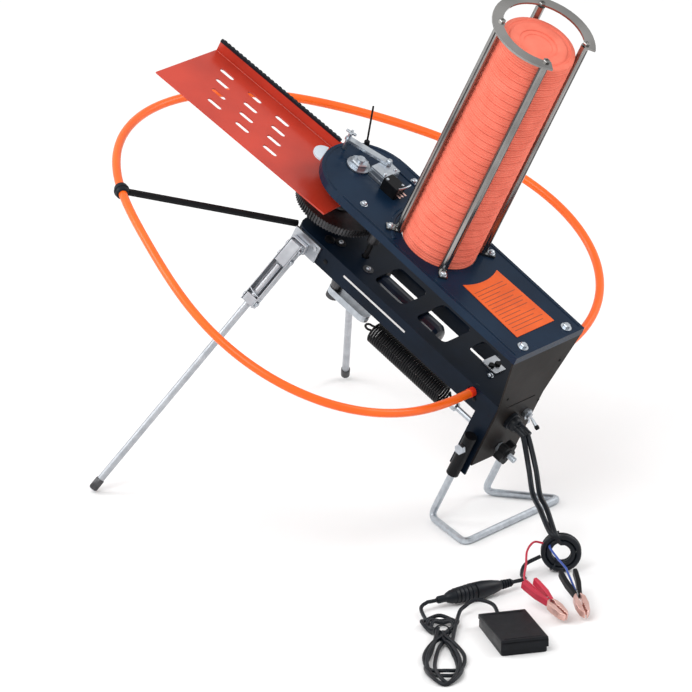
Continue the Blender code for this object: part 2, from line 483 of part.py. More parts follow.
def build_cords():
    ring = [(COIL_HOLE_R, -0.006), (0.0165, -COIL_HALF), (0.0245, -COIL_HALF), (COIL_R, -0.006),
            (COIL_R, 0.006), (0.0245, COIL_HALF), (0.0165, COIL_HALF), (COIL_HOLE_R, 0.006)]
    facing = COIL_AXIS.to_track_quat("Z", "Y").to_euler()
    add("cord_coil", lathe(ring, 28, True), BLACK, COIL_CENTRE, facing, None)
    tube("power_cord", smooth(main_cable(-1), 0.014), CABLE_R, BLACK)
    tube("switch_cord", smooth(main_cable(1), 0.014), CABLE_R, BLACK)
    run = CONNECTOR_END - CONNECTOR_START
    plug = [(0, 0), (0.0055, 0), (0.0055, 0.012), (0.008, 0.018), (0.0125, 0.045), (0.0125, 0.080),
            (0.009, 0.102), (0.0055, 0.106), (0.0055, run.length), (0, run.length)]
    facing = run.to_track_quat("Z", "Y").to_euler()
    add("inline_connector", lathe(plug, 16), BLACK, CONNECTOR_START, facing, None)
    along = run.normalized()
    lead_in = into_coil(-0.97, -0.24)[::-1] + [(0.2810, -0.134, 0.0085), (0.2905, -0.160, 0.0100)]
    lead_in += [CONNECTOR_START - along * reach for reach in (0.012, MEET)]
    tube("connector_cord", smooth(lead_in, 0.011), CORD_R, BLACK)
    link = [CONNECTOR_END + along * MEET, CONNECTOR_END + along * 0.009, (0.2660, -0.3200, 0.0085)]
    tube("hank_cord", smooth(link + into_hank(0.75, -0.66), 0.008), CORD_R, BLACK)
    outline = obround(*HANK_ENDS, 0, HANK_HALF, 10)
    turn = (0, 0, math.atan2(HANK_ALONG.y, HANK_ALONG.x))
    add("cord_hank", prism(outline, 0.0, HANK_THICK), BLACK, HANK_CENTRE, turn, None)
    pedal = Matrix.Translation(PEDAL_CENTRE) @ Matrix.Rotation(PEDAL_TURN, 4, "Z")
    pedal_end = [pedal @ Vector((PEDAL_LENGTH / 2 + reach, 0, 0.006)) for reach in (0.011, MEET)]
    tail = into_hank(0.0, -1.0)[::-1]
    tail += [(0.3080, -0.2950, 0.013), (0.3120, -0.2760, 0.017), (0.333, -0.267, 0.013)]
    tube("pedal_cord", smooth(tail + pedal_end, 0.011), CORD_R, BLACK)
    clip("red_clip", *RED_CLIP, RED)
    clip("black_clip", *BLACK_CLIP, BLACK)
    red = into_coil(-0.85, 0.5, 0.005)[::-1] + [(0.2960, -0.128, 0.048), (0.3080, -0.1600, 0.045),
                                                (0.3290, -0.1930, 0.042)]
    tube("red_lead", smooth(red + into_clip(*RED_CLIP), 0.0075), LEAD_R, RED)
    face = COIL_CENTRE - COIL_RIGHT * 0.015 + Vector((0, 0, 0.0125))
    black = [face + COIL_AXIS * (COIL_HALF + reach) for reach in (MEET, 0.009)] + [(0.3360, -0.132, 0.038)]
    tube("black_lead", smooth(black + into_clip(*BLACK_CLIP), 0.0075), LEAD_R, BLACK)


def into_clip(start, end):
    """The last two route points of a lead that meets a clip's handles."""
    start, end = Vector(start), Vector(end)
    return [start - (end - start).normalized() * reach for reach in (0.010, MEET)]


def clip(name, start, end, mat):
    """A battery clip from its handles to its jaws, as one closed wedge."""
    start, end = Vector(start), Vector(end)
    length = (end - start).length
    half = [(0, 0.004), (0.004, 0.013), (0.040, 0.011), (0.055, 0.0075)]
    half += [(length - 0.020, 0.0095), (length, 0.006)]
    outline = half + [(u, -v) for u, v in reversed(half)]
    turn = (end - start).to_track_quat("X", "Z").to_euler()
    add(name, prism(outline, -0.006, 0.006), mat, start, turn, None)


build_deck()
build_magazine()
build_arm()
build_chassis()
build_spring()
build_hoop()
build_legs()
build_foot_bar()
build_top_gear()
build_pedal()
build_cords()
bpy.context.view_layer.update()
for item in bpy.context.scene.objects:
    if item.parent is None:
        item.matrix_world = Matrix.Translation(ORIGIN_SHIFT) @ item.matrix_world
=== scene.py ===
"""Looks for the clay target thrower: materials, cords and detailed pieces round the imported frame."""
import math

import bmesh
import bpy
from mathutils import Matrix, Vector


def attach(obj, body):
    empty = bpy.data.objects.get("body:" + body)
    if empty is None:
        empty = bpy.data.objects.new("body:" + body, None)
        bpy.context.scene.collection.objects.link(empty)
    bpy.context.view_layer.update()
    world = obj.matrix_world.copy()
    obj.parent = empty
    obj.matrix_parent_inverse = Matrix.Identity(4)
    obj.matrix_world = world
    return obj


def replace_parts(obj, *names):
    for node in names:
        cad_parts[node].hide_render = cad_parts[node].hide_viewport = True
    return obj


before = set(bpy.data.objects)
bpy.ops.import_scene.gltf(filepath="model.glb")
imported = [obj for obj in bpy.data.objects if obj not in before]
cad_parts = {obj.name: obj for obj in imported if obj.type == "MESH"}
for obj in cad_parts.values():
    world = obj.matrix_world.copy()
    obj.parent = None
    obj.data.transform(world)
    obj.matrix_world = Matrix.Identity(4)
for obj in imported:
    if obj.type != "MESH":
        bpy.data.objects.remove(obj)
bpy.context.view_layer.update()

# The frame's own places, in metres: deck coordinates run back along the deck, across it and off its top
DECK_TILT = math.radians(27.5)
SHIFT = Vector((-0.0016, 0.0125, 0))
WORLD = Matrix.Translation(SHIFT)
DECK = Matrix.Translation(SHIFT + Vector((0.2175, 0, 0.279))) @ Matrix.Rotation(DECK_TILT, 4, "Y")
SHAFT_X, MAGAZINE_X, WEB_Z, NOSE_X = -0.378, -0.217, -0.105, -0.350
CLAY_PITCH, CLAYS, STACK_LOW = 0.0124, 30, -0.0033
ROD_CIRCLE, ROD_TOP = 0.0608, 0.3853
ARM_TURN = math.radians(183.7)
SPRING_Z, SPRING_R, SPRING_STEPS = -0.194, 0.0142, 20
GEAR_TEETH, PINION_TEETH, PINION_AT = 84, 12, (-0.306, -0.003, 0)
LEVER_PIVOT, LEVER_TURN, LEVER_LENGTH = (-0.352, 0.027, 0.0160), math.radians(18), 0.064
HOOP_CENTRE, HOOP_TILT, HOOP_R, HOOP_TUBE_R = Vector((-0.139, 0, 0.331)), math.radians(23.7), 0.3343, 0.006
HOOP_WAVES, HOOP_SAG = (-0.0273, -0.0925, -0.0131), 0.0168
COIL_CENTRE, COIL_R = Vector((0.310, -0.092, 0.0285)), 0.028
COIL_RIGHT, COIL_AXIS, UP = Vector((0.775, 0.632, 0)), Vector((0.632, -0.775, 0)), Vector((0, 0, 1))
CABLE_R, CORD_R, LEAD_R, MEET, APART = 0.0037, 0.0027, 0.0015, 0.0006, 0.0047
CONNECTOR_START, CONNECTOR_END = Vector((0.3032, -0.1887, 0.0128)), Vector((0.2652, -0.3025, 0.0128))
HANK_CENTRE, HANK_ALONG = Vector((0.3566, -0.4028, 0)), Vector((0.657, -0.754, 0))
HANK_ACROSS = Vector((0.754, 0.657, 0))
HANK_TIE_AT, COIL_SPREAD, COIL_TURNS = -0.030, 0.0072, 2
PEDAL = WORLD @ Matrix.Translation((0.4105, -0.3205, 0)) @ Matrix.Rotation(math.radians(145), 4, "Z")
PEDAL_LENGTH, PEDAL_WIDTH = 0.112, 0.064
RED_CLIP = (Vector((0.353, -0.2157, 0.034)), Vector((0.435, -0.237, 0.0105)))
BLACK_CLIP = (Vector((0.3707, -0.154, 0.034)), Vector((0.450, -0.213, 0.0105)))


def on_deck(x, y, z):
    return DECK @ Vector((x, y, z))


# Camera
VIEW_AZIMUTH, VIEW_ELEVATION, VIEW_DISTANCE, VIEW_WIDTH = math.radians(39.2), math.radians(21.5), 30.0, 0.935
camera = bpy.data.objects.new("camera", bpy.data.cameras.new("camera"))
bpy.context.scene.collection.objects.link(camera)
back = Vector((math.sin(VIEW_AZIMUTH) * math.cos(VIEW_ELEVATION),
               -math.cos(VIEW_AZIMUTH) * math.cos(VIEW_ELEVATION), math.sin(VIEW_ELEVATION)))
camera.location = Vector((-0.0336, -0.1185, 0.253)) + back * VIEW_DISTANCE
camera.rotation_mode = "QUATERNION"
camera.rotation_quaternion = (-back).to_track_quat("-Z", "Y")
camera.data.lens = camera.data.sensor_width * VIEW_DISTANCE / VIEW_WIDTH
bpy.context.scene.camera = camera
bpy.context.scene.view_settings.view_transform = "Standard"


# Materials
def surface(name, colour, other, roughness, metallic=0.0, grain=60.0, bump=0.15, coat=0.0, spread=0.12,
            cells=False,
            shine=0.5):
    """A finish whose colour, gloss and small relief vary over the piece."""
    mat = bpy.data.materials.new(name)
    mat.use_nodes = True
    nodes, links = mat.node_tree.nodes, mat.node_tree.links
    shader = nodes["Principled BSDF"]
    shader.inputs["Metallic"].default_value = metallic
    shader.inputs["Coat Weight"].default_value = coat
    shader.inputs["Specular IOR Level"].default_value = shine
    shader.inputs["Coat Roughness"].default_value = 0.12
    place = nodes.new("ShaderNodeTexCoord")
    if cells:
        broad = nodes.new("ShaderNodeTexVoronoi")
        broad.inputs["Scale"].default_value = grain
        value = broad.outputs["Color"]
    else:
        broad = nodes.new("ShaderNodeTexNoise")
        broad.inputs["Scale"].default_value = grain
        broad.inputs["Detail"].default_value = 6
        value = broad.outputs["Fac"]
    links.new(place.outputs["Object"], broad.inputs["Vector"])
    ramp = nodes.new("ShaderNodeValToRGB")
    ramp.color_ramp.elements[0].position, ramp.color_ramp.elements[1].position = 0.35, 0.7
    ramp.color_ramp.elements[0].color = (*colour, 1)
    ramp.color_ramp.elements[1].color = (*other, 1)
    links.new(value, ramp.inputs["Fac"])
    links.new(ramp.outputs["Color"], shader.inputs["Base Color"])
    gloss = nodes.new("ShaderNodeMapRange")
    gloss.inputs["To Min"].default_value = max(0.02, roughness - spread)
    gloss.inputs["To Max"].default_value = min(1, roughness + spread)
    wear = nodes.new("ShaderNodeTexNoise")
    wear.inputs["Scale"].default_value = grain * 0.4
    wear.inputs["Detail"].default_value = 4
    links.new(place.outputs["Object"], wear.inputs["Vector"])
    links.new(wear.outputs["Fac"], gloss.inputs["Value"])
    links.new(gloss.outputs["Result"], shader.inputs["Roughness"])
    fine = nodes.new("ShaderNodeTexNoise")
    fine.inputs["Scale"].default_value = grain * 9
    fine.inputs["Detail"].default_value = 3
    links.new(place.outputs["Object"], fine.inputs["Vector"])
    relief = nodes.new("ShaderNodeBump")
    relief.inputs["Strength"].default_value = bump
    relief.inputs["Distance"].default_value = 0.0004
    links.new(fine.outputs["Fac"], relief.inputs["Height"])
    links.new(relief.outputs["Normal"], shader.inputs["Normal"])
    return mat


PAINT = surface("deck_paint", (0.0030, 0.0120, 0.0300), (0.0050, 0.0190, 0.0440), 0.3, 0, 14, 0.12, 0.05,
                shine=0.12)
CHASSIS_PAINT = surface("chassis_paint", (0.0016, 0.0048, 0.0110), (0.0026, 0.0085, 0.0200), 0.38, 0, 18,
                        0.15, 0.0, shine=0.12)
PLATE_PAINT = surface("end_plate_paint", (0.0085, 0.0066, 0.0058), (0.0140, 0.0110, 0.0098), 0.5, 0, 25, 0.2,
                      0.0, shine=0.12)
ARM_PAINT = surface("arm_paint", (0.52, 0.040, 0.018), (0.38, 0.026, 0.012), 0.3, 0, 9, 0.1, 0.15, shine=0.4)
HOOP_ORANGE = surface("hoop_orange", (0.95, 0.135, 0.006), (0.85, 0.11, 0.004), 0.35, 0, 12, 0.08, 0.1,
                      shine=0.35)
LABEL_ORANGE = surface("label_orange", (0.72, 0.105, 0.010), (0.62, 0.085, 0.008), 0.45, 0, 30, 0.05, 0.05,
                       shine=0.25)
LABEL_INK = surface("label_ink", (0.20, 0.035, 0.006), (0.26, 0.045, 0.008), 0.5, 0, 40, 0.05)
CLAY = surface("clay_body", (0.84, 0.200, 0.135), (0.74, 0.160, 0.105), 0.8, 0, 45, 0.5, shine=0.2)
CHROME = surface("chrome_finish", (0.34, 0.335, 0.325), (0.16, 0.155, 0.15), 0.2, 1, 10, 0.05)
ZINC = surface("zinc_finish", (0.52, 0.56, 0.60), (0.40, 0.43, 0.47), 0.34, 1, 120, 0.15)
ALUMINIUM = surface("leg_metal", (0.50, 0.52, 0.55), (0.38, 0.40, 0.43), 0.4, 1, 60, 0.2)
STEEL = surface("gear_steel", (0.10, 0.10, 0.105), (0.04, 0.04, 0.042), 0.4, 1, 50, 0.3)
SPRING_STEEL = surface("spring_black", (0.003, 0.003, 0.004), (0.008, 0.008, 0.010), 0.45, 0, 40, 0.2, 0.0,
                       shine=0.2)
BLACK = surface("black_moulding", (0.0022, 0.0024, 0.0032), (0.005, 0.0055, 0.0070), 0.45, 0, 60, 0.3,
                shine=0.15)
PEDAL_BLACK = surface("pedal_black", (0.0020, 0.0026, 0.0042), (0.004, 0.0052, 0.0080), 0.4, 0, 80, 0.45,
                      shine=0.2)
CORD_BLACK = surface("cord_black", (0.0020, 0.0032, 0.0055), (0.0050, 0.0080, 0.0130), 0.4, 0, 70, 0.15,
                     shine=0.25)
RUBBER = surface("rubber_strip", (0.003, 0.005, 0.009), (0.006, 0.011, 0.018), 0.5, 0, 50, 0.4, shine=0.2)
NYLON = surface("nylon", (0.55, 0.62, 0.68), (0.46, 0.52, 0.58), 0.45, 0, 30, 0.1)
RED = surface("red_grip", (0.50, 0.008, 0.040), (0.40, 0.006, 0.030), 0.4, 0, 40, 0.2)
COPPER = surface("copper_jaw", (0.80, 0.52, 0.47), (0.62, 0.36, 0.30), 0.3, 1, 70, 0.25)
BLUE = surface("blue_wire", (0.02, 0.06, 0.30), (0.03, 0.08, 0.36), 0.4, 0, 60, 0.1)
WHITE = surface("white_mark", (0.62, 0.62, 0.62), (0.52, 0.52, 0.52), 0.5, 0, 40, 0.05)
HOLE = surface("dark_hole", (0.002, 0.002, 0.002), (0.004, 0.004, 0.004), 0.8, 0, 40, 0.05, shine=0.1)
# Motor can darkened close to black: painted shade of the inside of the frame, where the motor is seen through
# the side windows
MOTOR_PAINTED_SHADE = surface("motor_can_painted_shade", (0.003, 0.006, 0.014), (0.006, 0.013, 0.028), 0.3, 0, 30, 0.1, 0.1, shine=0.35)


# Pieces
def piece(name, bm, mat, body="machine", at=DECK, bevel=0.0, segments=2, sharp=35):
    """A shown mesh, placed in the row frame, that rides on a body."""
    bmesh.ops.recalc_face_normals(bm, faces=bm.faces)
    mesh = bpy.data.meshes.new(name)
    bm.to_mesh(mesh)
    bm.free()
    mesh.materials.append(mat)
    obj = bpy.data.objects.new(name, mesh)
    bpy.context.scene.collection.objects.link(obj)
    obj.matrix_world = at
    if bevel:
        soft = obj.modifiers.new("edge", "BEVEL")
        soft.width, soft.segments, soft.limit_method = bevel, segments, "ANGLE"
        soft.harden_normals = True
    for face in mesh.polygons:
        face.use_smooth = True
    mesh.set_sharp_from_angle(angle=math.radians(sharp))
    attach(obj, body)
    return obj


def line(name, points, radius, mat, body="machine", at=WORLD, sides=4, cyclic=False):
    """A round wire, cord or tube through points."""
    curve = bpy.data.curves.new(name, "CURVE")
    curve.dimensions = "3D"
    curve.bevel_depth, curve.bevel_resolution = radius, sides
    curve.use_fill_caps = not cyclic
    spline = curve.splines.new("POLY")
    spline.points.add(len(points) - 1)
    for point, place in zip(spline.points, points):
        point.co = (*place, 1)
    spline.use_cyclic_u = cyclic
    spline.use_smooth = True
    curve.materials.append(mat)
    obj = bpy.data.objects.new(name, curve)
    bpy.context.scene.collection.objects.link(obj)
    obj.matrix_world = at
    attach(obj, body)
    return obj


def prism(outline, low, high, axis="Z", bm=None):
    bm = bm or bmesh.new()
    place = {"Z": lambda u, v, w: (u, v, w), "X": lambda u, v, w: (w, u, v), "Y": lambda u, v,
             w: (u, w, v)}[axis]
    lower = [bm.verts.new(place(u, v, low)) for u, v in outline]
    upper = [bm.verts.new(place(u, v, high)) for u, v in outline]
    bm.faces.new(lower)
    bm.faces.new(upper)
    for i in range(len(outline)):
        j = (i + 1) % len(outline)
        bm.faces.new((lower[i], lower[j], upper[j], upper[i]))
    return bm


def arc(cx, cy, radius, start, end, steps):
    angles = [math.radians(start + (end - start) * i / steps) for i in range(steps + 1)]
    return [(cx + radius * math.cos(a), cy + radius * math.sin(a)) for a in angles]


def rounded(x0, x1, y0, y1, radius, steps=4):
    corners = ((x1, y0, -1, 1, -90), (x1, y1, -1, -1, 0), (x0, y1, 1, -1, 90), (x0, y0, 1, 1, 180))
    points = []
    for x, y, sx, sy, start in corners:
        points += arc(x + sx * radius, y + sy * radius, radius, start, start + 90, steps)
    return points


def lathe(profile, sides=32, matrix=None, bm=None):
    """Turns (radius, height) points about Z, then places them."""
    target = bm or bmesh.new()
    turned = bmesh.new()
    verts = [turned.verts.new((r, 0, z)) for r, z in profile]
    edges = [turned.edges.new(pair) for pair in zip(verts, verts[1:])]
    bmesh.ops.spin(turned, geom=verts + edges, cent=(0, 0, 0), axis=(0, 0, 1), angle=math.tau, steps=sides)
    bmesh.ops.remove_doubles(turned, verts=turned.verts, dist=1e-6)
    turned.transform(matrix or Matrix())
    scratch = bpy.data.meshes.new("scratch")
    turned.to_mesh(scratch)
    turned.free()
    target.from_mesh(scratch)
    bpy.data.meshes.remove(scratch)
    return target


def facing(place, normal=(0, 0, 1)):
    """Matrix that puts a lathe's Z along a normal at a place."""
    return Matrix.Translation(place) @ Vector(normal).to_track_quat("Z", "Y").to_matrix().to_4x4()


DOME = [(0.0055, 0), (0.0055, 0.0008), (0.0042, 0.0010), (0.0042, 0.0028), (0.0034, 0.0042), (0.0018, 0.0050),
        (0, 0.0052)]
WASHER = [(0.0078, 0), (0.0078, 0.0010), (0.0030, 0.0012), (0, 0.0012)]
HEX = [(0.0052, 0), (0.0052, 0.0035), (0.0044, 0.0043), (0, 0.0045)]


def fasteners(name, places, profile, sides=20, mat=ZINC, body="machine", scale=1.0, at=DECK):
    """One group of like fasteners, each given by its place and its outward direction."""
    bm = bmesh.new()
    for place, normal in places:
        lathe([(r * scale, z * scale) for r, z in profile], sides, facing(place, normal), bm)
    return piece(name, bm, mat, body, at)


def smooth(route, spacing):
    """Even points on a Catmull-Rom curve through the route's own points."""
    points = [Vector(p) for p in route]
    ends = [2 * points[0] - points[1]] + points + [2 * points[-1] - points[-2]]
    fine = []
    for a, b, c, d in zip(ends, ends[1:], ends[2:], ends[3:]):
        for i in range(24):
            t = i / 24
            fine.append(0.5 * (2 * b + (c - a) * t + (2 * a - 5 * b + 4 * c - d) * t ** 2
                               + (3 * b - a - 3 * c + d) * t ** 3))
    fine.append(points[-1])
    kept, travelled = [fine[0]], 0.0
    for p, q in zip(fine, fine[1:]):
        travelled += (q - p).length
        if travelled >= spacing:
            kept.append(q)
            travelled = 0.0
    return kept + [fine[-1]]


# Cords
def round_coil(right, up, reach, axis=0.0):
    out = (COIL_RIGHT * right + UP * up).normalized()
    return COIL_CENTRE + out * (COIL_R + reach) + COIL_AXIS * axis


def coil_turns(radius, turns, start, lean):
    """Clockwise turns inside the coil, from a start angle in degrees, that spread along its axis."""
    points = []
    for i in range(int(turns * 20) + 1):
        angle = math.radians(start - 18 * i)
        across = lean * (2 * i / (turns * 20) - 1)
        points.append(COIL_CENTRE + (COIL_RIGHT * math.cos(angle) + UP * math.sin(angle)) * radius
                      + COIL_AXIS * across)
    return points


def machine_cable(name, node, side, radius):
    gland = [Matrix.Translation(-SHIFT) @ on_deck(x, -0.004 + APART * side, z)
             for x, z in ((0.0138 + MEET, -0.143), (0.028, -0.1435))]
    aside = COIL_RIGHT * APART * side
    fall = [Vector(p) + aside for p in ((0.198, -0.015, 0.098), (0.2255, -0.040, 0.074),
                                        (0.260, -0.068, 0.070))]
    meet = [COIL_CENTRE + (COIL_RIGHT * -0.40 + UP * 1.05) * COIL_R + aside * 0.6 + COIL_AXIS * COIL_SPREAD]
    points = smooth(gland + fall + meet + coil_turns(radius, COIL_TURNS, 95, -COIL_SPREAD), 0.0045)
    cable = line(name, points, CABLE_R, CORD_BLACK, sides=5)
    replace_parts(cable, node)


machine_cable("power_cable", "power_cord", -1, 0.0240)
machine_cable("switch_cable", "switch_cord", 1, 0.0166)

along = (CONNECTOR_END - CONNECTOR_START).normalized()


def connector():
    """Two mated halves with a ribbed grip on each and tapered strain reliefs."""
    length = (CONNECTOR_END - CONNECTOR_START).length
    profile = [(0, 0), (0.0040, 0)]
    for i in range(4):
        z = 0.002 + 0.004 * i
        profile += [(0.0042 + 0.0003 * i, z), (0.0056 + 0.0003 * i, z + 0.0006),
                    (0.0056 + 0.0003 * i, z + 0.0022),
                    (0.0042 + 0.0003 * i, z + 0.0028)]
    profile += [(0.0068, 0.020), (0.0098, 0.032), (0.0120, 0.046), (0.0122, 0.058), (0.0122, 0.0600),
                (0.0108, 0.0606), (0.0108, 0.0620), (0.0122, 0.0626)]
    for i in range(5):
        z = 0.064 + 0.006 * i
        profile += [(0.0122 - 0.0004 * i, z), (0.0122 - 0.0004 * i, z + 0.0040),
                    (0.0110 - 0.0004 * i, z + 0.0046)]
    profile += [(0.0096, 0.097), (0.0070, 0.104), (0.0052, 0.1065), (0.0052, length - 0.002),
                (0.0040, length),
                (0, length)]
    return lathe(profile, 28, facing(CONNECTOR_START, along))


plug = piece("connector_pair", connector(), CORD_BLACK, at=WORLD)
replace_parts(plug, "inline_connector")
lead_in = [round_coil(-0.97, -0.24, MEET), (0.2790, -0.130, 0.014), (0.2935, -0.156, 0.0110),
           CONNECTOR_START - along * 0.020, CONNECTOR_START]


def hank_lobes():
    """Loose loops that all pass the tie: long ones on one side of it, short ones on the other."""
    lobes = [(0.148, 0.022), (-0.050, 0.019), (0.163, 0.015), (-0.059, 0.024), (0.130, 0.027),
             (-0.043, 0.015),
             (0.168, 0.024)]
    points = []
    for number, (reach, width) in enumerate(lobes):
        across = 0.0058 * (number % 3 - 1)
        level = CORD_R + 0.0004 + 0.0054 * (number // 3 % 3)
        turn = 1 if number % 4 < 2 else -1
        points.append((HANK_TIE_AT, across, level))
        for part, wide in ((0.30, 0.55), (0.62, 1.0), (0.88, 0.78), (1.0, 0.0), (0.88, -0.78), (0.62, -1.0),
                           (0.30, -0.55)):
            lift = CORD_R + 0.0004 + 0.0022 * ((number * 3 + int(part * 10)) % 4)
            points.append((HANK_TIE_AT + reach * part, turn * wide * width + across * 0.3, lift))
    return [HANK_CENTRE + HANK_ALONG * x + HANK_ACROSS * y + UP * z for x, y, z in points]


pedal_end = [Matrix.Translation(-SHIFT) @ PEDAL @ Vector((PEDAL_LENGTH / 2 + reach, 0,
                                                          0.006)) for reach in (0.011, MEET)]
route = lead_in + [CONNECTOR_END, CONNECTOR_END + along * 0.016, (0.2640, -0.3340, 0.0070)] + hank_lobes()
route += [(0.3150, -0.3180, 0.0090), (0.3080, -0.2950, 0.013), (0.3120, -0.2760, 0.017),
          (0.333, -0.267, 0.013)]
route += pedal_end
points = [Vector((p.x, p.y, max(p.z, CORD_R + 0.0004))) for p in smooth(route, 0.004)]
hank = line("pedal_lead", points, CORD_R, CORD_BLACK, sides=4)
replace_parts(hank, "connector_cord", "hank_cord", "cord_hank", "pedal_cord")
tie_at = HANK_CENTRE + HANK_ALONG * HANK_TIE_AT + UP * 0.0106
tie = [tie_at + HANK_ACROSS * 0.0108 * math.cos(a) + UP * 0.0094 * math.sin(a)
       for a in (math.tau * i / 32 for i in range(32))]
line("hank_tie", tie, 0.0009, CORD_BLACK, cyclic=True)


def battery_clip(name, start, end, grip, lead_mat, lead_points, lead_name, slot):
    """Two sprung jaws on a pivot, with sleeved handles, and the lead that ends in them."""
    length = (end - start).length
    at = WORLD @ Matrix.Translation(start) @ (end - start).to_track_quat("X", "Z").to_matrix().to_4x4()
    jaws = bmesh.new()
    handles = bmesh.new()
    for side in (-1, 1):
        pivot = length * 0.55
        jaw = [(pivot - 0.006, side * 0.0010), (pivot + 0.008, side * 0.0085),
               (length - 0.022, side * 0.0092),
               (length - 0.006, side * 0.0068), (length, side * 0.0025), (length, side * 0.0008)]
        teeth = [(length - 0.003 - 0.0025 * i, side * (0.0022 if i % 2 else 0.0008)) for i in range(1, 9)]
        prism(jaw + teeth + [(pivot + 0.006, side * 0.003)], -0.0052, 0.0052, bm=jaws)
        grip_line = [(0.000, side * 0.0128), (0.000, side * 0.0070), (0.020, side * 0.0055),
                     (pivot, side * 0.0005),
                     (pivot + 0.004, side * 0.0050), (0.030, side * 0.0112), (0.008, side * 0.0130)]
        prism(grip_line, -0.0056, 0.0056, bm=handles)
    clip = piece(name + "_jaws", jaws, COPPER, at=at, bevel=0.0010)
    grips = piece(name + "_grips", handles, grip, at=at, bevel=0.0018, segments=3)
    turns = [Vector((length * 0.52 + 0.0033 * math.cos(a), 0.0033 * math.sin(a),
                     -0.0045 + 0.009 * a / (10 * math.pi)))
             for a in (math.tau * i / 14 for i in range(71))]
    coil = line(name + "_spring", turns, 0.0005, ZINC, at=at, sides=2)
    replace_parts(clip, name)
    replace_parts(grips, name)
    points = smooth(lead_points + [start - (end - start).normalized() * r for r in (0.010, MEET, -0.020,
                                                                                    -0.044)], 0.003)
    lead = line(lead_name + "_wire", points, LEAD_R, lead_mat, sides=4)
    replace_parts(lead, lead_name)


red = [round_coil(-0.85, 0.5, MEET, 0.005)]
red += [Vector(p) for p in ((0.2880, -0.1230, 0.0465), (0.2965, -0.1480, 0.0440), (0.3200, -0.1800, 0.0400))]
battery_clip("red_clip", *RED_CLIP, RED, RED, red, "red_lead", "red_plastic")
face = COIL_CENTRE - COIL_RIGHT * 0.015 + UP * 0.0125
black = [face + COIL_AXIS * (0.009 + r) for r in (MEET, 0.009)] + [Vector((0.3360, -0.132, 0.038))]
battery_clip("black_clip", *BLACK_CLIP, BLACK, BLUE, black, "black_lead", "black_plastic")


def coil_tie():
    out = COIL_RIGHT * -0.5 + UP * -0.86
    middle = COIL_CENTRE + out * 0.0203
    return [middle + out * 0.0086 * math.cos(a) + COIL_AXIS * 0.0122 * math.sin(a)
            for a in (math.tau * i / 28 for i in range(28))]


coil_band = line("coil_tie", coil_tie(), 0.0010, CORD_BLACK, cyclic=True)
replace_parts(coil_band, "cord_coil")

# Stage and light
floor = bpy.data.meshes.new("floor")
floor.from_pydata([(-6, -6, 0), (6, -6, 0), (6, 6, 0), (-6, 6, 0)], [], [(0, 1, 2, 3)])
floor.materials.append(surface("pale_floor", (0.86, 0.86, 0.86), (0.84, 0.84, 0.84), 0.85, 0, 3, 0.02))
ground = bpy.data.objects.new("floor", floor)
bpy.context.scene.collection.objects.link(ground)
world = bpy.data.worlds.new("studio")
bpy.context.scene.world = world
world.use_nodes = True
world.node_tree.nodes["Background"].inputs["Color"].default_value = (1, 1, 1, 1)
world.node_tree.nodes["Background"].inputs["Strength"].default_value = 0.85
for name, place, size, power in (("key", (0.6, -2.6, 3.0), 2.2, 62), ("side", (-2.6, -1.4, 2.0), 1.8, 34),
                                 ("rim", (1.8, 2.4, 2.6), 2.0, 40)):
    lamp = bpy.data.lights.new(name, "AREA")
    lamp.shape, lamp.size, lamp.energy = "DISK", size, power
    light = bpy.data.objects.new(name, lamp)
    light.location = place
    light.rotation_euler = (Vector((0, 0, 0.3)) - Vector(place)).to_track_quat("-Z", "Y").to_euler()
    bpy.context.scene.collection.objects.link(light)

# Finishes of the frame's own nodes
FINISHES = {
    PAINT: ("deck_plate",),
    CHASSIS_PAINT: ("chassis_channel",),
    PLATE_PAINT: ("rear_end_plate",),
    ARM_PAINT: ("throw_arm",),
    LABEL_ORANGE: ("deck_label",),
    CHROME: ("magazine_rod_1", "magazine_rod_2", "magazine_rod_3", "magazine_rod_4", "magazine_top_ring"),
    ZINC: ("drop_gate", "spring_link", "release_block", "release_lever", "toggle_switch", "toggle_lever",
           "clamp_bolt_near", "clamp_bolt_far", "tension_eyebolt", "main_shaft", "foot_bar"),
    ALUMINIUM: ("leg_bracket_near", "leg_bracket_far", "leg_rod_near", "leg_rod_far"),
    STEEL: ("crank_arm", "bearing_housing", "drive_pinion"),
    BLACK: ("micro_switch", "gearbox", "foot_socket_near", "foot_socket_far", "tension_knob",
            "hoop_support_arm",
            "whisker_rod"),
    RUBBER: ("arm_rail_rubber", "hoop_grommet"),
    NYLON: ("front_guide",),
    MOTOR_PAINTED_SHADE: ("drive_motor",),
}
for finish, names in FINISHES.items():
    for name in names:
        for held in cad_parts[name].material_slots:
            held.material = finish


# Magazine
def clays():
    """Thirty nested clay targets, each with a rolled rim, a stepped shoulder and a ringed dome."""
    profile = [(0, 0.0002), (0.0515, 0.0002), (0.0536, 0.0008), (0.0540, 0.0016), (0.0540, 0.0036),
               (0.0533, 0.0043),
               (0.0529, 0.0047), (0.0533, 0.0051), (0.0537, 0.0056), (0.0537, 0.0074), (0.0530, 0.0080),
               (0.0527, 0.0084), (0.0531, 0.0089), (0.0532, 0.0108), (0.0522, 0.0117), (0.0470, 0.0121),
               (0.0462, 0.0108), (0.0430, 0.0103), (0.0420, 0.0113), (0.0402, 0.01235), (0.0290, 0.0124),
               (0.0275, 0.0116), (0.0270, 0.0100), (0.0210, 0.0098), (0.0205, 0.0088), (0, 0.0088)]
    bm = bmesh.new()
    for i in range(CLAYS):
        lathe(profile, 64, Matrix.Translation((MAGAZINE_X, 0, STACK_LOW + CLAY_PITCH * i)), bm)
    return bm


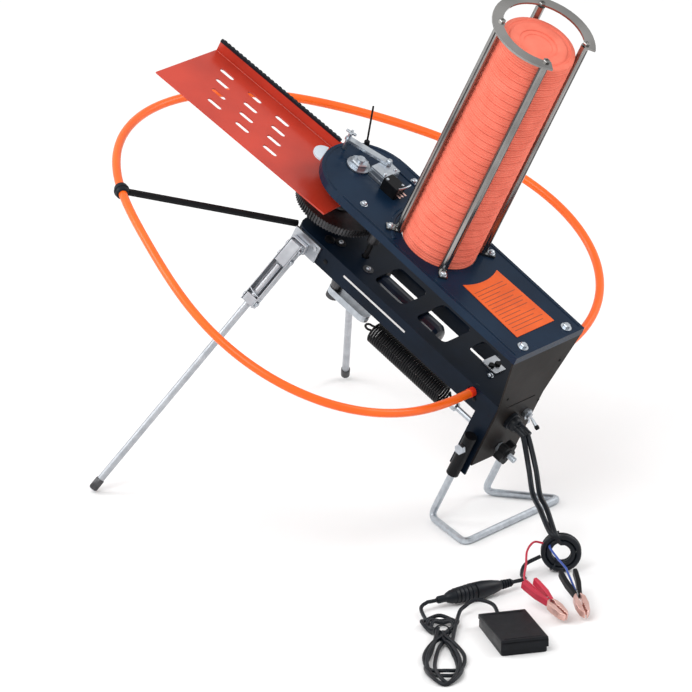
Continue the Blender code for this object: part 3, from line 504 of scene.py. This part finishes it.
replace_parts(piece("clay_targets", clays(), CLAY, "clays", sharp=28), "clay_stack")
rods = [(math.radians(a), MAGAZINE_X + ROD_CIRCLE * math.cos(math.radians(a)),
         ROD_CIRCLE * math.sin(math.radians(a)))
        for a in (-45, 45, 135, 225)]
fasteners("rod_foot_screws", [((x + 0.0125 * math.cos(a), y + 0.0125 * math.sin(a), 0.0036), (0, 0, 1))
                              for a, x, y in rods], DOME, scale=0.95)
# Dark steel strips down two sides of each chrome rod: painted dark edge reflections of the rods, also standing
# for the edges of a channel
edges = bmesh.new()
for a, x, y in rods:
    for way in (-1, 1):
        middle = a + way * math.radians(58)
        corners = [(0.0058, -0.19), (0.00635, -0.14), (0.00635, 0.14), (0.0058, 0.19)]
        prism([(x + r * math.cos(middle + w), y + r * math.sin(middle + w)) for r, w in corners], 0.006,
              0.380, bm=edges)
piece("rod_channel_edges_and_painted_reflections", edges, STEEL)
fasteners("ring_bolts", [((x, y, ROD_TOP + 0.0030), (0, 0, 1)) for a, x, y in rods],
          [(0.0052, 0), (0.0052, 0.0022), (0.0044, 0.0029), (0.0024, 0.0029), (0.0022, 0.0014), (0, 0.0014)],
          6,
          CHROME)

# Deck
collar = [(0.0662, 0.0001), (0.0669, 0.0012), (0.0681, 0.0017), (0.0707, 0.0017), (0.0719, 0.0012),
          (0.0726, 0.0001)]


def swept_arc(profile, start, end, steps, cx=0.0, cy=0.0):
    bm = bmesh.new()
    rows = []
    for i in range(steps + 1):
        a = math.radians(start + (end - start) * i / steps)
        rows.append([bm.verts.new((cx + r * math.cos(a), cy + r * math.sin(a), z)) for r, z in profile])
    for p, q in zip(rows, rows[1:]):
        for j in range(len(profile)):
            k = (j + 1) % len(profile)
            bm.faces.new((p[j], p[k], q[k], q[j]))
    bm.faces.new(rows[0])
    bm.faces.new(rows[-1])
    return bm


piece("deck_collar", swept_arc(collar, 118, 242, 36, MAGAZINE_X), PAINT)
bead = [(0.0672, 0.00005), (0.0678, 0.0008), (0.0690, 0.0008), (0.0696, 0.00005)]
piece("deck_edge_bead", swept_arc(bead, 96, 264, 48, NOSE_X), PAINT)
for side, word in ((-1, "near"), (1, "far")):
    run = prism([(-0.344, side * 0.0672), (-0.344, side * 0.0696), (-0.006, side * 0.0696),
                 (-0.006, side * 0.0672)],
                0.00005, 0.0008)
    piece(f"deck_edge_{word}", run, PAINT, bevel=0.0005)
lines = bmesh.new()
for i in range(13):
    x = -0.040 - 0.0066 * i
    half = (0.030, 0.033, 0.027, 0.032, 0.020, 0.031)[i % 6]
    prism(rounded(x - 0.0005, x + 0.0005, -0.033, -0.033 + 2 * half, 0.0003, 2), 0.0009, 0.00105, bm=lines)
piece("label_lines", lines, LABEL_INK)
fasteners("deck_dome_nuts", [((x, y, 0.0001), (0, 0, 1)) for x, y in
                             ((-0.319, -0.052), (-0.319, 0.056))], DOME)
rib = prism(rounded(-0.362, -0.190, 0.0495, 0.0520, 0.0012, 3), 0.00005, 0.0013)
piece("deck_rib", rib, PAINT, bevel=0.0006)
washers = [((x, y, 0.0001), (0, 0, 1)) for x, y in ((-0.013, -0.046), (-0.013, 0.047))]
fasteners("rear_washers", washers, WASHER, 28)
fasteners("rear_hex_bolts", [((x, y, 0.0012), n) for (x, y, z), n in washers], HEX, 6)
fasteners("shaft_nut", [((SHAFT_X, 0, 0.0031), (0, 0, 1))],
          [(0.0128, 0), (0.0128, 0.0062), (0.0110, 0.0074), (0.0066, 0.0074), (0, 0.0074)], 6, body="thrower")

# Throw arm
ARM = DECK @ Matrix.Translation((SHAFT_X, 0, 0)) @ Matrix.Rotation(ARM_TURN, 4, "Z")
strip = prism(rounded(0.055, 0.276, -0.0310, -0.0192, 0.001, 2), -0.0414, -0.0393, "Y")
piece("arm_rail_strip", strip, ALUMINIUM, "thrower", ARM, 0.0004)
fasteners("arm_rail_bolts", [((u, -0.0415, -0.0252), (0, -1, 0)) for u in (0.072, 0.135, 0.198, 0.260)], DOME,
          20,
          body="thrower", scale=0.72, at=ARM)
ridge = bmesh.new()
for i in range(30):
    u = 0.058 + 0.0073 * i
    prism(rounded(u, u + 0.0045, -0.0402, -0.0354, 0.0008, 2), -0.0138, -0.0128, bm=ridge)
piece("rubber_ridges", ridge, RUBBER, "thrower", ARM, 0.0003)
fold = prism([(-0.022, -0.0365), (0.277, -0.0365), (0.277, -0.0345), (-0.022, -0.0345)], -0.0331, -0.0316)
piece("arm_fold_fillet", fold, ARM_PAINT, "thrower", ARM, 0.0009)
fasteners("arm_hub_bolts", [((0.0125 * math.cos(a), 0.0125 * math.sin(a), -0.0329), (0, 0, 1))
                            for a in (0.6, 1.85, 3.1, 4.37, 5.6)], DOME, 12, body="thrower", scale=0.45,
          at=ARM)


# Drive
def toothed(teeth, root, tip, low, high, profile):
    bm = lathe(profile, 2 * teeth)
    for i in range(teeth):
        a = math.tau * i / teeth
        share = math.tau / teeth
        corners = ((root - 0.0004, -0.27), (tip, -0.13), (tip, 0.13), (root - 0.0004, 0.27))
        prism([(r * math.cos(a + w * share), r * math.sin(a + w * share)) for r, w in corners], low, high,
              bm=bm)
    return bm


AXLE = DECK @ Matrix.Translation((SHAFT_X, 0, 0))
rim = [(0.0086, -0.0630), (0.0180, -0.0630), (0.0190, -0.0660), (0.0480, -0.0660), (0.0490, -0.0632),
       (0.0606, -0.0632),
       (0.0606, -0.0748), (0.0490, -0.0748), (0.0480, -0.0722), (0.0190, -0.0722), (0.0180, -0.0749),
       (0.0086, -0.0749),
       (0.0086, -0.0630)]
gear = piece("ring_gear", toothed(GEAR_TEETH, 0.0606, 0.0625, -0.0749, -0.0631, rim), STEEL,
             "thrower", AXLE)
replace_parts(gear, "drive_gear")
small = [(0, -0.0625), (0.0074, -0.0625), (0.0074, -0.0765), (0, -0.0765)]
piece("pinion_teeth", toothed(PINION_TEETH, 0.0074, 0.0088, -0.0764, -0.0626, small), STEEL,
      "pinion",
      DECK @ Matrix.Translation(PINION_AT))
spring = []
TURNS, SPRING_FRONT, SPRING_BACK, WIRE = 36, -0.2442, -0.1082, 0.0017
for i in range(TURNS * SPRING_STEPS + 1):
    a = math.tau * i / SPRING_STEPS
    x = SPRING_FRONT + (SPRING_BACK - SPRING_FRONT) * i / (TURNS * SPRING_STEPS)
    spring.append(Vector((x, SPRING_R * math.cos(a), SPRING_Z + SPRING_R * math.sin(a))))


def hook(x, way, reach):
    """A loop in the plane of the axis, from the coil's rim back to its own root."""
    steps = [Vector((x, SPRING_R, SPRING_Z)), Vector((x + way * 0.003, 0.0110, SPRING_Z))]
    middle = x + way * (reach - 0.0065)
    steps += [Vector((middle + way * 0.0060 * math.sin(a), 0.0060 * math.cos(a), SPRING_Z))
              for a in (math.radians(20 * i) for i in range(13))]
    return steps


front_hook = hook(SPRING_FRONT, -1, 0.0165)
rear_hook = hook(SPRING_BACK, 1, 0.0160)
coils = line("spring_coils", smooth(front_hook[::-1], 0.002)[:-1] + spring + smooth(rear_hook, 0.002)[1:],
             WIRE,
             SPRING_STEEL, "link", DECK, sides=3)
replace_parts(coils, "main_spring")
bolt_end = DECK @ Matrix.Translation((-0.0908, 0, SPRING_Z)) @ Matrix.Rotation(math.pi / 2, 4, "Y")
thread = [(0, 0.1098)] + [(0.0043 if i % 2 else 0.0038, 0.1100 + 0.0006 * i) for i in range(20)] + [(0,
                                                                                                     0.1216)]
piece("eyebolt_thread", lathe(thread, 18), ZINC, at=bolt_end)
fasteners("tension_nut", [((-0.0003, 0, SPRING_Z), (1, 0, 0))],
          [(0, 0), (0.0074, 0), (0.0080, 0.0006), (0.0080, 0.0052), (0.0070, 0.0060), (0, 0.0060)], 6)
insert = [(0.0046, 0.0182), (0.0092, 0.0182), (0.0086, 0.0200), (0.0046, 0.0202), (0.0046, 0.0182)]
piece("knob_insert", lathe(insert, 24), BLACK, "tension",
      DECK @ Matrix.Translation((0, 0, SPRING_Z)) @ Matrix.Rotation(math.pi / 2, 4, "Y"))

# Chassis fittings
fasteners("web_bolts", [((x, y, WEB_Z + 0.0001), (0, 0, 1)) for x, y in
                        ((-0.341, -0.018), (-0.285, -0.020), (-0.054, -0.010), (-0.341, 0.030),
                         (-0.030, 0.034))],
          DOME, scale=0.8)
fasteners("web_rings", [((x, y, WEB_Z + 0.0001), (0, 0, 1)) for x, y in ((-0.341, -0.018), (-0.285, -0.020))],
          [(0.0078, 0), (0.0078, 0.0008), (0, 0.0008)], 24, STEEL)
fasteners("web_button", [((-0.352, -0.030, WEB_Z + 0.0001), (0, 0, 1))],
          [(0.0072, 0), (0.0072, 0.003), (0.0050, 0.0042), (0, 0.0046)], 24, BLACK)
terminal = prism([(-0.079, -0.002), (-0.052, -0.002), (-0.052, 0.020), (-0.068, 0.020), (-0.068, 0.026),
                  (-0.079, 0.026)],
                 WEB_Z + 0.0004, WEB_Z + 0.0030)
piece("terminal_plate", terminal, ALUMINIUM, bevel=0.0004)
fasteners("terminal_screws", [((x, y, WEB_Z + 0.0031), (0, 0, 1)) for x,
                              y in ((-0.0655, 0.003), (-0.0635, 0.0140))],
          [(0.0046, 0), (0.0046, 0.0030), (0.0040, 0.0036), (0, 0.0036)], 8, BLACK)
for side, word in ((-1, "near"), (1, "far")):
    edge = side * 0.04815
    stripe = prism([(-0.300, -0.1205), (-0.300, -0.1175), (-0.180, -0.1175), (-0.180, -0.1205)],
                   *sorted((edge, edge + side * 0.0003)), "Y")
    piece(f"flange_stripe_{word}", stripe, WHITE if side < 0 else LABEL_ORANGE)
fasteners("flange_rivets", [((x, side * 0.0481, -0.1225), (0, side, 0)) for x in (-0.334,
                                                                                  -0.042) for side in (-1, 1)],
          [(0.0034, 0), (0.0030, 0.0011), (0.0016, 0.0016), (0, 0.0017)], 16, BLACK)
seam = prism([(-0.030, -0.1107), (-0.030, -0.1093), (0.030, -0.1093), (0.030, -0.1107)], -0.0004, -0.00015,
             "X")
piece("end_plate_seam", seam, HOLE)
fasteners("end_plate_screws", [((-0.0004, y, z), (1, 0, 0)) for y,
                               z in ((-0.040, -0.090), (0.050, -0.052), (0.046, -0.125))],
          [(0.0021, 0), (0.0021, 0.0003), (0.0010, 0.0004), (0, 0.0001)], 12, HOLE)
gland = [(0, 0), (0.0130, 0), (0.0130, 0.0046), (0.0120, 0.0052), (0.0108, 0.0054), (0.0106, 0.0100),
         (0.0100, 0.0128),
         (0.0088, 0.0140), (0, 0.0140)]
sealed = piece("cable_gland_body", lathe(gland, 32, facing((-0.0002, -0.004, -0.143), (1, 0, 0))), CORD_BLACK)
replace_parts(sealed, "cable_gland")
relief = bmesh.new()
for side in (-1, 1):
    tube = [(0, 0), (0.0054, 0), (0.0052, 0.0030), (0.0046, 0.0034), (0.0046, 0.0048), (0.0050, 0.0052),
            (0.0049, 0.0080), (0.0044, 0.0084), (0.0044, 0.0098), (0.0047, 0.0102), (0.0044, 0.0200),
            (0, 0.0200)]
    lathe(tube, 20, facing((0.0130, -0.004 + APART * side, -0.143), (1, 0, -0.02)), relief)
piece("strain_reliefs", relief, CORD_BLACK)
ring = [(0.0056, 0.0), (0.0082, 0.0), (0.0082, 0.0024), (0.0056, 0.0028), (0.0056, 0.0)]
piece("toggle_nut", lathe(ring, 6, facing((0.0040, 0.026, -0.140), (1, 0, 0))), ZINC)
tip = [(0, 0.0128), (0.0030, 0.0128), (0.0034, 0.0160), (0.0028, 0.0184), (0, 0.0190)]
piece("toggle_tip", lathe(tip, 20, Matrix.Translation((0.0116, 0.026,
                                                       -0.140)) @ Matrix.Rotation(math.radians(112), 4, "Y")),
      BLACK, "toggle")

# Release mechanism
terminals = bmesh.new()
for y in (0.000, 0.006, 0.012):
    prism(rounded(-0.3055, -0.2990, y - 0.0014, y + 0.0014, 0.0005, 2), 0.008, 0.0088, bm=terminals)
piece("switch_terminals", terminals, COPPER, bevel=0.0002)
fasteners("switch_screws", [((x, y, 0.0181), (0, 0, 1)) for x, y in ((-0.3290, 0.0000), (-0.3105, 0.0120))],
          [(0.0022, 0), (0.0020, 0.0010), (0.0008, 0.0012), (0, 0.0006)], 16)
line("switch_roller_lever", smooth([(-0.3070, -0.001, 0.0188), (-0.3045, 0.004, 0.0200),
                                    (-0.3030, 0.012, 0.0215),
                                             (-0.3040, 0.020, 0.0210)], 0.002), 0.0013, ZINC, at=DECK)
fasteners("block_screws", [((-0.3385, y, 0.0156), (0, 0, 1)) for y in (0.006, 0.028)], DOME, scale=0.6)
groove = bmesh.new()
for z in (0.0035, 0.0110):
    prism(rounded(-0.3602, -0.3338, 0.0008, 0.0342, 0.001, 2), z, z + 0.0022, bm=groove)
piece("block_lips", groove, ZINC, bevel=0.0004)
LEVER = DECK @ Matrix.Translation(LEVER_PIVOT) @ Matrix.Rotation(LEVER_TURN, 4, "Z")
fasteners("lever_pivot_nut", [((0, 0, 0.0041), (0, 0, 1))], HEX, 6, body="release", scale=0.8, at=LEVER)
wing = prism(rounded(-0.0080, 0.0080, -0.0020, 0.0020, 0.0015, 3), 0.0120, 0.0150)
wing = prism(rounded(-0.0020, 0.0020, -0.0060, 0.0060, 0.0015, 3), 0.0120, 0.0150, bm=wing)
piece("lever_wing", wing, ZINC, "release", LEVER @ Matrix.Translation((-LEVER_LENGTH, 0, 0)), 0.0008)


# Hoop
def hoop_point(angle):
    radius = HOOP_R * (1 + sum(w * math.cos(n * angle) for n, w in enumerate(HOOP_WAVES, 2)))
    flat = Vector((radius * math.cos(angle), radius * math.sin(angle), -HOOP_SAG * math.cos(2 * angle)))
    return HOOP_CENTRE + Matrix.Rotation(HOOP_TILT, 3, "Y") @ flat


hoop = line("orange_hoop", [hoop_point(i * math.tau / 240) for i in range(240)], HOOP_TUBE_R, HOOP_ORANGE,
            sides=6, cyclic=True)
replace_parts(hoop, "safety_hoop")
for side, word in ((-1, "near"), (1, "far")):
    ends = [hoop_point(side * a) for a in (0.158, 0.170, 0.182, 0.194)]
    line(f"hoop_ferrule_{word}", ends, 0.0066,
         surface(f"ferrule_{word}", (0.85, 0.035, 0.01), (0.75, 0.03, 0.01), 0.4),
         sides=5)
for side, word in ((-1, "near"), (1, "far")):
    middle = hoop_point(side * 0.1465)
    way = (hoop_point(side * 0.150) - hoop_point(side * 0.143)).normalized()
    bush = [(0.0061, -0.0030), (0.0105, -0.0026), (0.0110, 0.0), (0.0105, 0.0026), (0.0061, 0.0030),
            (0.0061, -0.0030)]
    piece(f"hoop_bush_{word}", lathe(bush, 28, facing(middle, way)), RUBBER, at=WORLD)
held = hoop_point(math.radians(222.5))
tangent = (hoop_point(math.radians(223.5)) - hoop_point(math.radians(221.5))).normalized()
band = [(0.0064, -0.0088), (0.0088, -0.0080), (0.0096, -0.0060), (0.0096, -0.0020), (0.0108, -0.0012),
        (0.0108, 0.0012),
        (0.0096, 0.0020), (0.0096, 0.0060), (0.0088, 0.0080), (0.0064, 0.0088), (0.0064, -0.0088)]
grommet = piece("hoop_grommet_band", lathe(band, 28, facing(held, tangent)), RUBBER, at=WORLD)
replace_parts(grommet, "hoop_grommet")


# Legs
def leg_frame(side):
    hinge = Matrix.Translation(-SHIFT) @ on_deck(SHAFT_X, side * 0.065, -0.128)
    tip_at = Vector((-0.362, side * 0.272, 0.005))
    down = (tip_at - hinge).normalized()
    y = down.cross(DECK.to_3x3() @ Vector((1, 0, 0))).normalized()
    z = -down
    return WORLD @ Matrix.Translation(hinge) @ Matrix((y.cross(z), y,
                                                       z)).transposed().to_4x4(), (tip_at - hinge).length


for side, word in ((-1, "near"), (1, "far")):
    yoke, length = leg_frame(side)
    out = [(-0.011, -0.007), (-0.011, 0.0068), (-0.0094, 0.0070), (-0.0094, -0.0053), (0.0094, -0.0053),
           (0.0094, 0.0070),
           (0.011, 0.0068), (0.011, -0.007)]
    sleeve = prism(out, -0.100, 0.010)
    prism(rounded(-0.0092, 0.0092, -0.0052, 0.0066, 0.001, 2), -0.0280, 0.0080, bm=sleeve)
    prism(rounded(-0.0092, 0.0092, -0.0052, 0.0062, 0.001, 2), -0.0990, -0.0860, bm=sleeve)
    channel = piece(f"leg_channel_{word}", sleeve, ALUMINIUM, f"{word}_leg", yoke, 0.0006)
    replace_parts(channel, f"leg_sleeve_{word}")
    fasteners(f"leg_pins_{word}", [((x, 0, z), (x, 0, 0)) for z in (0.0, -0.018, -0.0925) for x in (-0.0111,
                                                                                                    0.0111)],
              [(0.0046, 0), (0.0046, 0.0012), (0.0036, 0.0022), (0, 0.0024)], 20, body=f"{word}_leg", at=yoke)
    clip = [Vector((0.0125 * math.cos(a), 0.0085 * math.sin(a), -0.078 - 0.0010 * i))
            for i, a in enumerate(math.radians(30 * k) for k in range(11))]
    line(f"leg_spring_clip_{word}", smooth(clip, 0.0015), 0.0010, ZINC, f"{word}_leg", yoke)
    cap = [(0, -length + 0.0002), (0.0048, -length + 0.0002), (0.0062, -length + 0.0022),
           (0.0062, -length + 0.0170),
           (0.0056, -length + 0.0182), (0, -length + 0.0182)]
    piece(f"leg_cap_{word}", lathe(cap, 24), STEEL, f"{word}_leg", yoke)
    fasteners(f"bracket_rivets_{word}", [((x, side * 0.0515, z), (0, side, 0)) for x,
                                         z in ((-0.356, -0.116), (-0.388, -0.130))],
              [(0.0042, 0), (0.0040, 0.0012), (0.0022, 0.0020), (0, 0.0021)], 20, ALUMINIUM)
    holder = prism([(-0.391, -0.119), (-0.365, -0.119), (-0.365, -0.135), (-0.391, -0.135)],
                   *sorted((side * 0.0514, side * 0.0575)), "Y")
    piece(f"leg_holder_{word}", holder, ALUMINIUM, bevel=0.0016)

# Pedal
half_l, half_w = PEDAL_LENGTH / 2, PEDAL_WIDTH / 2
base = prism(rounded(-half_l, half_l, -half_w, half_w, 0.004, 4), 0.0, 0.0105)
housing = piece("pedal_housing", base, PEDAL_BLACK, at=PEDAL, bevel=0.0012, segments=3)
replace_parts(housing, "pedal_base")
HINGE = PEDAL @ Matrix.Translation((half_l - 0.004, 0, 0.0115))
top = prism([(-0.110, 0.0045), (0.002, 0.0), (0.002, 0.0075), (-0.110, 0.0115)], -half_w - 0.001,
            half_w + 0.001, "Y")
plate = piece("pedal_tread", top, PEDAL_BLACK, "pedal", HINGE, 0.0016, 3)
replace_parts(plate, "pedal_plate")
skirt = bmesh.new()
for side in (-1, 1):
    edge = sorted((side * (half_w + 0.0002), side * (half_w + 0.0010)))
    prism([(-0.110, -0.0030), (-0.012, -0.0016), (-0.004, 0.0040), (-0.110, 0.0075)], *edge, "Y", bm=skirt)
prism([(-0.1100, -0.0030), (-0.1087, -0.0030), (-0.1087, 0.0080), (-0.1100, 0.0080)], -half_w - 0.001,
      half_w + 0.001, "Y",
      bm=skirt)
piece("pedal_skirt", skirt, PEDAL_BLACK, "pedal", HINGE)
frame_line = bmesh.new()
for x in (-0.1040, -0.0060):
    z = 0.0115 - (x + 0.110) / 0.112 * 0.0040
    prism(rounded(x - 0.0006, x + 0.0006, -half_w + 0.005, half_w - 0.005, 0.0004, 2), z - 0.0006, z + 0.0003,
          bm=frame_line)
piece("pedal_lines", frame_line, PEDAL_BLACK, "pedal", HINGE)
